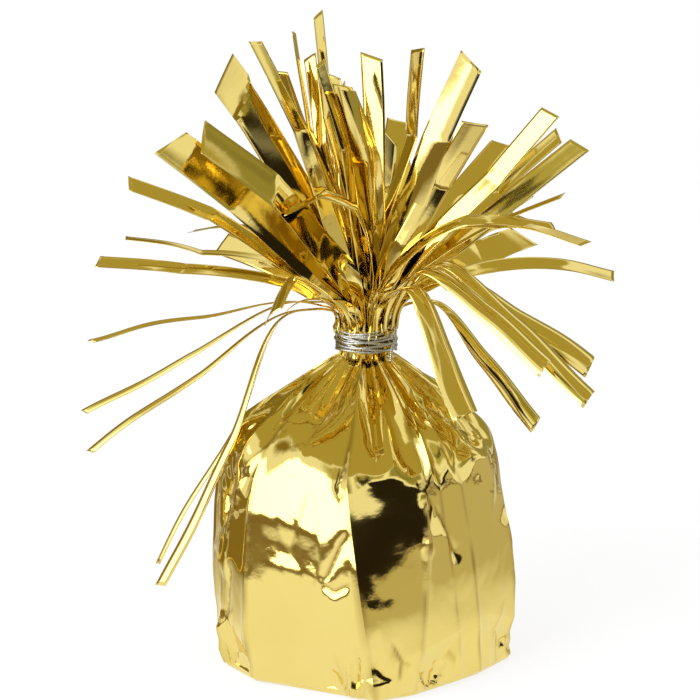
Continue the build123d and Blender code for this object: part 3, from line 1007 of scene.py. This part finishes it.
def floorPatch(name, bearings, radii, colour, strength):
    # ground that is darker than the paper, fading in from its near edge and its two sides
    material, s = newMaterial(name)
    coords = s.node("ShaderNodeTexCoord", out=2)
    parts = s.node("ShaderNodeSeparateXYZ", None, {0: coords})
    turned = Signal(s.tree, parts.socket.node.outputs[0])
    outward = Signal(s.tree, parts.socket.node.outputs[1])
    glow = s.node("ShaderNodeEmission", None, {"Color": (*colour, 1), "Strength": strength})
    clear = s.node("ShaderNodeBsdfTransparent")
    whole = bearings[1] - bearings[0] >= 360
    sides = 1.0 if whole else s.maths("MINIMUM", s.maths("MINIMUM", turned, 1.0 - turned) * 6.0, 1.0)
    cover = s.maths("MINIMUM", outward * 5.0, 1.0) * sides
    mix = s.node("ShaderNodeMixShader", None, {0: cover, 1: clear, 2: glow})
    s.node("ShaderNodeOutputMaterial", None, {"Surface": mix})
    turn = np.radians(np.linspace(*bearings, 73))[None, :]
    reach = np.linspace(*radii, 12)[:, None]
    height = 0.0003 if whole else 0.0006
    points = np.stack([reach * np.sin(turn), -reach * np.cos(turn), 0 * reach * turn + height], -1)
    piece = newPiece(name, points.reshape(-1, 3), quads(12, 73, False), gridUv(12, 73), material, 60)
    piece.visible_camera = False
    piece.visible_diffuse = False
    piece.visible_shadow = False
    return piece


floor = floorPiece()
board("boardFront", (-16, 84), (-5, 17), (1.0, 0.75, 0.5), 0.02, 0.12)
board("boardWarm", (30, 62), (-5, 1), (1.0, 0.45, 0.15), 0.22, 0.4)
board("boardBackLeft", (-185, -96), (-5, 46), (1.0, 0.74, 0.14), 0.26, 0.12)
board("boardBackRight", (112, 185), (-5, 34), (1.0, 0.90, 0.32), 0.34, 0.15)
board("boardRightHigh", (22, 105), (22, 46), (1.0, 0.92, 0.34), 0.34, 0.15)
board("boardFrontHigh", (-34, 10), (26, 44), (1.0, 0.92, 0.40), 0.50, 0.2)
board("boardBand", (-13, -3), (8, 46), (1.0, 0.7, 0.3), 0.03, 0.3)
board("boardEdge", (58, 74), (8, 46), (1.0, 0.7, 0.3), 0.03, 0.3)
board("boardTop", (-180, 180), (44, 88), (1.0, 0.84, 0.28), 0.46, 0.05)
board("boardWindow", (-84, -24), (-4, 30), (1.0, 1.0, 1.0), 3.6, 0.06)
floorPatch("floorFar", (-180, 180), (0.16, 0.52), (1.0, 0.72, 0.28), 0.24)
floorPatch("floorRight", (0, 150), (0.04, 0.40), (1.0, 0.92, 0.66), 0.58)
floorPatch("floorBack", (140, 232), (0.04, 0.40), (1.0, 0.80, 0.45), 0.36)
floorPatch("floorLeft", (-140, -84), (0.04, 0.40), (1.0, 0.70, 0.16), 0.26)


def world():
    scene = bpy.context.scene
    made = bpy.data.worlds.new("studioWorld")
    scene.world = made
    made.use_nodes = True
    made.node_tree.nodes.clear()
    s = Signal(made.node_tree)
    fill = s.node("ShaderNodeBackground", None, {"Color": (1, 1, 1, 1), "Strength": 1.0})
    white = s.node("ShaderNodeBackground", None, {"Color": (1, 1, 1, 1), "Strength": 1.0})
    mix = s.node("ShaderNodeMixShader", None, {0: whiteRays(s), 1: fill, 2: white})
    s.node("ShaderNodeOutputWorld", None, {"Surface": mix})


world()


def keyLight(name, place, target, size, watts):
    data = bpy.data.lights.new(name, "AREA")
    data.size = size
    data.energy = watts
    lamp = bpy.data.objects.new(name, data)
    bpy.context.scene.collection.objects.link(lamp)
    lamp.location = place
    way = np.array(target) - np.array(place)
    tipped = math.acos(-way[2] / np.linalg.norm(way))
    lamp.rotation_euler = (tipped, 0, math.atan2(way[1], way[0]) - math.pi / 2)
    lamp.visible_glossy = False
    return lamp


keyLight("keyLight", (-0.5, -0.5, 0.7), (0, 0, 0.05), 0.5, 6.0)


# camera at the photograph's angle

cameraLook = {
    "target": (0, 0, 0.062),
    "distance": 0.62,
    "elevation": 15.0,
    "fieldWidth": 0.14875,
    "offsetRight": 16 / 700,
    "offsetDown": 25 / 700,
}


def photoCamera():
    data = bpy.data.cameras.new("photoCamera")
    data.sensor_width = 36
    data.lens = 36 * cameraLook["distance"] / cameraLook["fieldWidth"]
    data.shift_x = -cameraLook["offsetRight"]
    data.shift_y = cameraLook["offsetDown"]
    camera = bpy.data.objects.new("photoCamera", data)
    bpy.context.scene.collection.objects.link(camera)
    tilt = math.radians(cameraLook["elevation"])
    x, y, z = cameraLook["target"]
    back = cameraLook["distance"] * math.cos(tilt)
    above = cameraLook["distance"] * math.sin(tilt)
    camera.location = (x, y - back, z + above)
    camera.rotation_euler = (math.pi / 2 - tilt, 0, 0)
    bpy.context.scene.camera = camera


photoCamera()
bpy.context.scene.view_settings.view_transform = "Standard"
print("studio and camera made")
